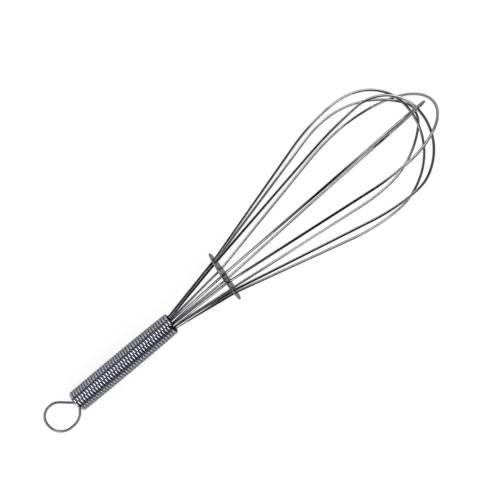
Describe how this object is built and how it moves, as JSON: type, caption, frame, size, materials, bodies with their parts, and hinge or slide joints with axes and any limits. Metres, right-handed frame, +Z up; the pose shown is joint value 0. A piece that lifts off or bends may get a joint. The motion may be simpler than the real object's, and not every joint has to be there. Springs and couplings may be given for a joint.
{
  "type": "balloon whisk",
  "caption": "Balloon whisk of bent wire: crossing loops run through a spacer disc into a close-wound coil grip with a crossed wire hanging loop.",
  "frame": {"origin": "on the table, under the middle of the whisk as it lies: the centre of its bounding box's base", "axes": "+X runs from the hanging loop and grip to the head of the balloon, and +Z is up from the table; the whisk's own axis climbs towards +X by 8.0 degrees"},
  "size_m": [0.3012, 0.0765, 0.078],
  "materials": {
    "loop_wire": "polished stainless wire",
    "coil_wire": "polished stainless wire, close wound",
    "eye_wire": "polished stainless wire",
    "disc_steel": "satin stamped sheet",
    "core_steel": "plain drawn rod"
  },
  "bodies": {
    "root": {"whisk_loop_1": "loop_wire", "whisk_loop_2": "loop_wire", "whisk_loop_3": "loop_wire", "whisk_loop_4": "loop_wire", "whisk_loop_5": "loop_wire", "handle_coil": "coil_wire", "core_rod": "core_steel", "spacer_disc": "disc_steel", "hanging_loop": "eye_wire"}
  },
  "joints": []
}
